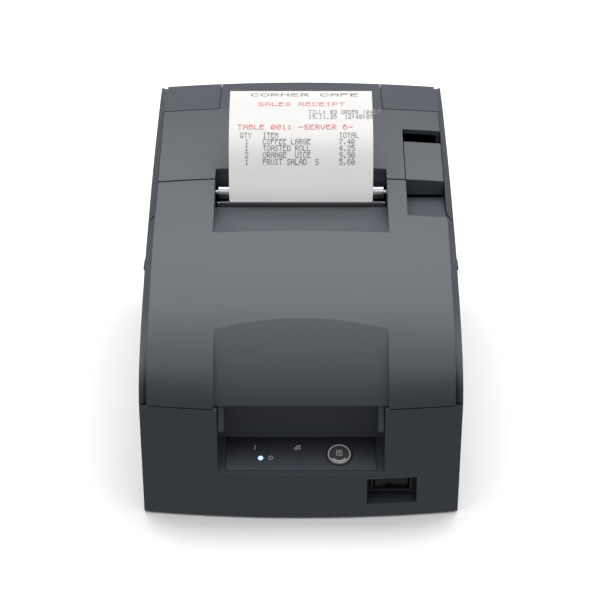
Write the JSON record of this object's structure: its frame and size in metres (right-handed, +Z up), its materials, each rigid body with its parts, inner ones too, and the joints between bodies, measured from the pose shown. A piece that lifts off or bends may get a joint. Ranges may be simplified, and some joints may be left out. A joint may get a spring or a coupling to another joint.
{
  "type": "receipt printer",
  "caption": "Desktop impact receipt printer with a front cover, a lift-up roll cover with its lever, control panel, power switch and a torn-off receipt standing in the slot.",
  "frame": {"origin": "on the table under the middle of the case", "axes": "+X to the user's right, the front faces -Y, +Z up"},
  "size_m": [0.1616, 0.248, 0.161],
  "materials": {
    "case_plastic": "fine textured dark grey",
    "black_plastic": "fine textured black",
    "gloss_black": "gloss blue-black",
    "button_plastic": "gloss blue-black with a white ring",
    "led_lens": "lit blue lens",
    "rubber": "matt black",
    "sheet_steel": "plain sheet",
    "bright_steel": "ground bar",
    "motor_steel": "plated can",
    "head_aluminium": "finned casting",
    "gear_plastic": "natural white",
    "circuit_board": "green solder resist",
    "component_plastic": "moulded black",
    "ribbon_fabric": "inked nylon",
    "paper": "plain white",
    "cardboard": "grey-brown board"
  },
  "bodies": {
    "case": {"lower_case": "case_plastic", "rear_case": "case_plastic", "rear_hinge_pin": "bright_steel", "rubber_feet": "rubber", "control_panel": "gloss_black", "power_led": "led_lens", "panel_board": "circuit_board", "feed_switch": "component_plastic", "power_switch": "black_plastic", "lever_pin": "bright_steel", "lever_housing": "black_plastic", "left_side_plate": "sheet_steel", "right_side_plate": "sheet_steel", "mechanism_base": "sheet_steel", "mechanism_posts": "sheet_steel", "carriage_shaft": "bright_steel", "guide_rail": "sheet_steel", "platen": "sheet_steel", "paper_guide": "black_plastic", "tear_bar": "sheet_steel", "idler_pin": "bright_steel", "timing_belt": "rubber", "carriage_motor": "motor_steel", "feed_motor": "motor_steel", "ribbon_cassette": "black_plastic", "cassette_lid": "black_plastic", "ink_ribbon": "ribbon_fabric", "roll_bin": "black_plastic", "sensor_pin": "bright_steel", "main_board": "circuit_board", "board_chips": "component_plastic", "interface_plate": "sheet_steel", "power_inlet": "component_plastic", "drawer_jack": "component_plastic", "usb_port": "black_plastic", "network_port": "component_plastic", "board_screws": "bright_steel"},
    "front_cover": {"front_cover": "case_plastic"},
    "roll_cover": {"roll_cover": "case_plastic", "receipt": "paper"},
    "exit_roller": {"exit_roller": "bright_steel"},
    "open_lever": {"open_lever": "case_plastic"},
    "feed_button": {"feed_button": "button_plastic"},
    "power_rocker": {"power_rocker": "gloss_black"},
    "carriage": {"carriage": "black_plastic", "print_head": "head_aluminium"},
    "drive_pulley": {"drive_pulley": "gear_plastic"},
    "idler_pulley": {"idler_pulley": "gear_plastic"},
    "feed_roller": {"feed_roller": "bright_steel", "feed_gear": "gear_plastic"},
    "motor_pinion": {"motor_pinion": "gear_plastic"},
    "ribbon_knob": {"ribbon_knob": "gear_plastic"},
    "paper_roll": {"paper_roll": "paper", "roll_core": "cardboard"},
    "near_end_lever": {"near_end_lever": "black_plastic"}
  },
  "joints": [
    {"name": "front_cover_hinge", "type": "hinge", "parent": "case", "child": "front_cover", "pos_m": [0, -0.1195, 0.052], "axis": [1, 0, 0], "range_deg": [0, 95]},
    {"name": "roll_cover_hinge", "type": "hinge", "parent": "case", "child": "roll_cover", "pos_m": [0, 0.1193, 0.1262], "axis": [-1, 0, 0], "range_deg": [0, 88]},
    {"name": "exit_roller_spin", "type": "hinge", "parent": "roll_cover", "child": "exit_roller", "pos_m": [0, 0.0126, 0.117], "axis": [-1, 0, 0], "continuous": true},
    {"name": "open_lever_pivot", "type": "hinge", "parent": "case", "child": "open_lever", "pos_m": [0.063, 0.027, 0.084], "axis": [-1, 0, 0], "range_deg": [0, 11], "stiffness_Nm_per_rad": 0.6, "springref_deg": -2.86},
    {"name": "feed_button_press", "type": "slide", "parent": "case", "child": "feed_button", "axis": [0, 0.3907, -0.9205], "range_m": [0, 0.0009], "stiffness_N_per_m": 900, "springref_m": -0.0005},
    {"name": "power_rocker_tilt", "type": "hinge", "parent": "case", "child": "power_rocker", "pos_m": [0.0456, -0.1088, 0.0164], "axis": [0, 0, 1], "range_deg": [0, 18]},
    {"name": "carriage_slide", "type": "slide", "parent": "case", "child": "carriage", "axis": [1, 0, 0], "range_m": [-0.022, 0.022]},
    {"name": "drive_pulley_spin", "type": "hinge", "parent": "case", "child": "drive_pulley", "pos_m": [-0.056, -0.03, 0.063], "axis": [0, 0, 1], "range_deg": [-220, 220]},
    {"name": "idler_pulley_spin", "type": "hinge", "parent": "case", "child": "idler_pulley", "pos_m": [0.056, -0.03, 0.063], "axis": [0, 0, 1], "range_deg": [-220, 220]},
    {"name": "feed_roller_spin", "type": "hinge", "parent": "case", "child": "feed_roller", "pos_m": [0, 0.0125, 0.072], "axis": [1, 0, 0], "continuous": true},
    {"name": "motor_pinion_spin", "type": "hinge", "parent": "case", "child": "motor_pinion", "pos_m": [-0.0725, 0.00253, 0.05541], "axis": [1, 0, 0], "continuous": true},
    {"name": "ribbon_knob_turn", "type": "hinge", "parent": "case", "child": "ribbon_knob", "pos_m": [0.04, -0.046, 0.095], "axis": [0, 0, 1], "continuous": true},
    {"name": "paper_roll_spin", "type": "hinge", "parent": "case", "child": "paper_roll", "pos_m": [0, 0.066, 0.0614], "axis": [1, 0, 0], "continuous": true},
    {"name": "near_end_lever_swing", "type": "hinge", "parent": "case", "child": "near_end_lever", "pos_m": [-0.043, 0.1, 0.052], "axis": [1, 0, 0], "range_deg": [-8, 8]}
  ],
  "couplings": [
    {"joint": "drive_pulley_spin", "follows": "carriage_slide", "rad_per_m": 153.85},
    {"joint": "idler_pulley_spin", "follows": "carriage_slide", "rad_per_m": 153.85},
    {"joint": "motor_pinion_spin", "follows": "feed_roller_spin", "ratio": -3},
    {"joint": "exit_roller_spin", "follows": "feed_roller_spin", "ratio": 1.6176}
  ]
}
